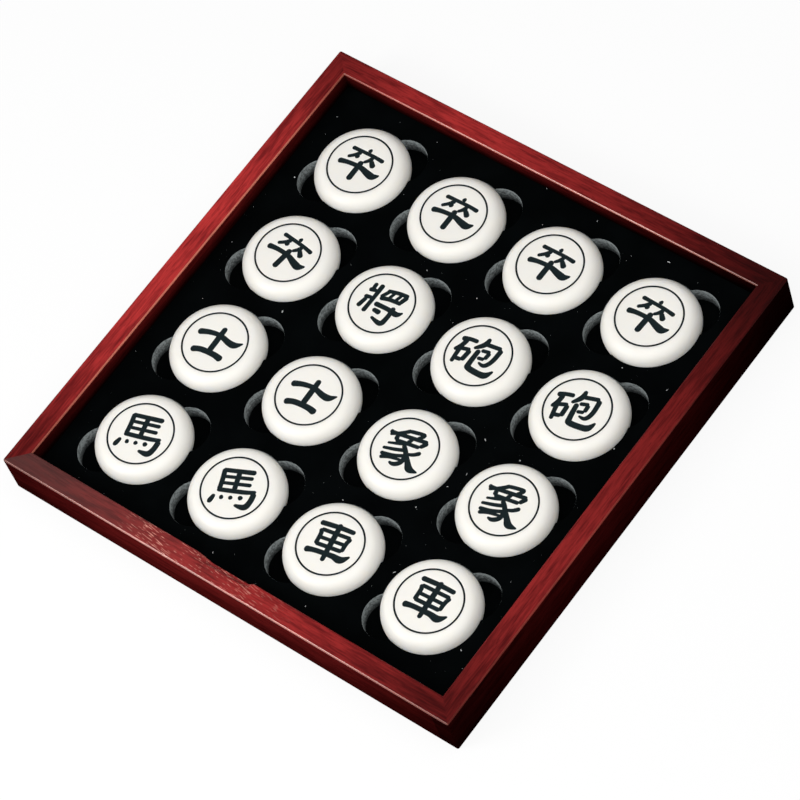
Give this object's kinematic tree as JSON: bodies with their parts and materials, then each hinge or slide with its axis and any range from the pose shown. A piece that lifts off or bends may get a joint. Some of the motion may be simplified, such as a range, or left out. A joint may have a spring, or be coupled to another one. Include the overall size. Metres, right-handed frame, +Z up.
{
  "type": "chinese chess tray",
  "caption": "Open square wooden tray with a black flocked insert, whose notched round pockets hold the white lift-out pieces of one side of Chinese chess.",
  "frame": {"origin": "middle of the tray's underside, on the surface that it stands on", "axes": "+X along a row of pieces, +Y to the far side (the soldiers' row), +Z up"},
  "size_m": [0.222, 0.222, 0.021],
  "materials": {
    "stained_wood": "dark red stain under a satin lacquer",
    "stained_panel": "thin panel, dark red stain, matte",
    "black_pad": "black flock",
    "flocked_foam": "die-cut foam with a black velvet flock",
    "white_melamine": "warm white melamine, polished, with black filled engraving"
  },
  "bodies": {
    "tray": {"rail_front": "stained_wood", "rail_back": "stained_wood", "rail_left": "stained_wood", "rail_right": "stained_wood", "base_panel": "stained_panel", "floor_pad": "black_pad", "pocket_insert": "flocked_foam"},
    "soldier_1_body": {"soldier_1": "white_melamine"},
    "soldier_2_body": {"soldier_2": "white_melamine"},
    "soldier_3_body": {"soldier_3": "white_melamine"},
    "soldier_4_body": {"soldier_4": "white_melamine"},
    "soldier_5_body": {"soldier_5": "white_melamine"},
    "general_body": {"general": "white_melamine"},
    "cannon_1_body": {"cannon_1": "white_melamine"},
    "cannon_2_body": {"cannon_2": "white_melamine"},
    "advisor_1_body": {"advisor_1": "white_melamine"},
    "advisor_2_body": {"advisor_2": "white_melamine"},
    "elephant_1_body": {"elephant_1": "white_melamine"},
    "elephant_2_body": {"elephant_2": "white_melamine"},
    "horse_1_body": {"horse_1": "white_melamine"},
    "horse_2_body": {"horse_2": "white_melamine"},
    "chariot_1_body": {"chariot_1": "white_melamine"},
    "chariot_2_body": {"chariot_2": "white_melamine"}
  },
  "joints": [
    {"name": "soldier_1_lift", "type": "slide", "parent": "tray", "child": "soldier_1_body", "axis": [0, 0, 1], "range_m": [0, 0.025]},
    {"name": "soldier_2_lift", "type": "slide", "parent": "tray", "child": "soldier_2_body", "axis": [0, 0, 1], "range_m": [0, 0.025]},
    {"name": "soldier_3_lift", "type": "slide", "parent": "tray", "child": "soldier_3_body", "axis": [0, 0, 1], "range_m": [0, 0.025]},
    {"name": "soldier_4_lift", "type": "slide", "parent": "tray", "child": "soldier_4_body", "axis": [0, 0, 1], "range_m": [0, 0.025]},
    {"name": "soldier_5_lift", "type": "slide", "parent": "tray", "child": "soldier_5_body", "axis": [0, 0, 1], "range_m": [0, 0.025]},
    {"name": "general_lift", "type": "slide", "parent": "tray", "child": "general_body", "axis": [0, 0, 1], "range_m": [0, 0.025]},
    {"name": "cannon_1_lift", "type": "slide", "parent": "tray", "child": "cannon_1_body", "axis": [0, 0, 1], "range_m": [0, 0.025]},
    {"name": "cannon_2_lift", "type": "slide", "parent": "tray", "child": "cannon_2_body", "axis": [0, 0, 1], "range_m": [0, 0.025]},
    {"name": "advisor_1_lift", "type": "slide", "parent": "tray", "child": "advisor_1_body", "axis": [0, 0, 1], "range_m": [0, 0.025]},
    {"name": "advisor_2_lift", "type": "slide", "parent": "tray", "child": "advisor_2_body", "axis": [0, 0, 1], "range_m": [0, 0.025]},
    {"name": "elephant_1_lift", "type": "slide", "parent": "tray", "child": "elephant_1_body", "axis": [0, 0, 1], "range_m": [0, 0.025]},
    {"name": "elephant_2_lift", "type": "slide", "parent": "tray", "child": "elephant_2_body", "axis": [0, 0, 1], "range_m": [0, 0.025]},
    {"name": "horse_1_lift", "type": "slide", "parent": "tray", "child": "horse_1_body", "axis": [0, 0, 1], "range_m": [0, 0.025]},
    {"name": "horse_2_lift", "type": "slide", "parent": "tray", "child": "horse_2_body", "axis": [0, 0, 1], "range_m": [0, 0.025]},
    {"name": "chariot_1_lift", "type": "slide", "parent": "tray", "child": "chariot_1_body", "axis": [0, 0, 1], "range_m": [0, 0.025]},
    {"name": "chariot_2_lift", "type": "slide", "parent": "tray", "child": "chariot_2_body", "axis": [0, 0, 1], "range_m": [0, 0.025]}
  ]
}
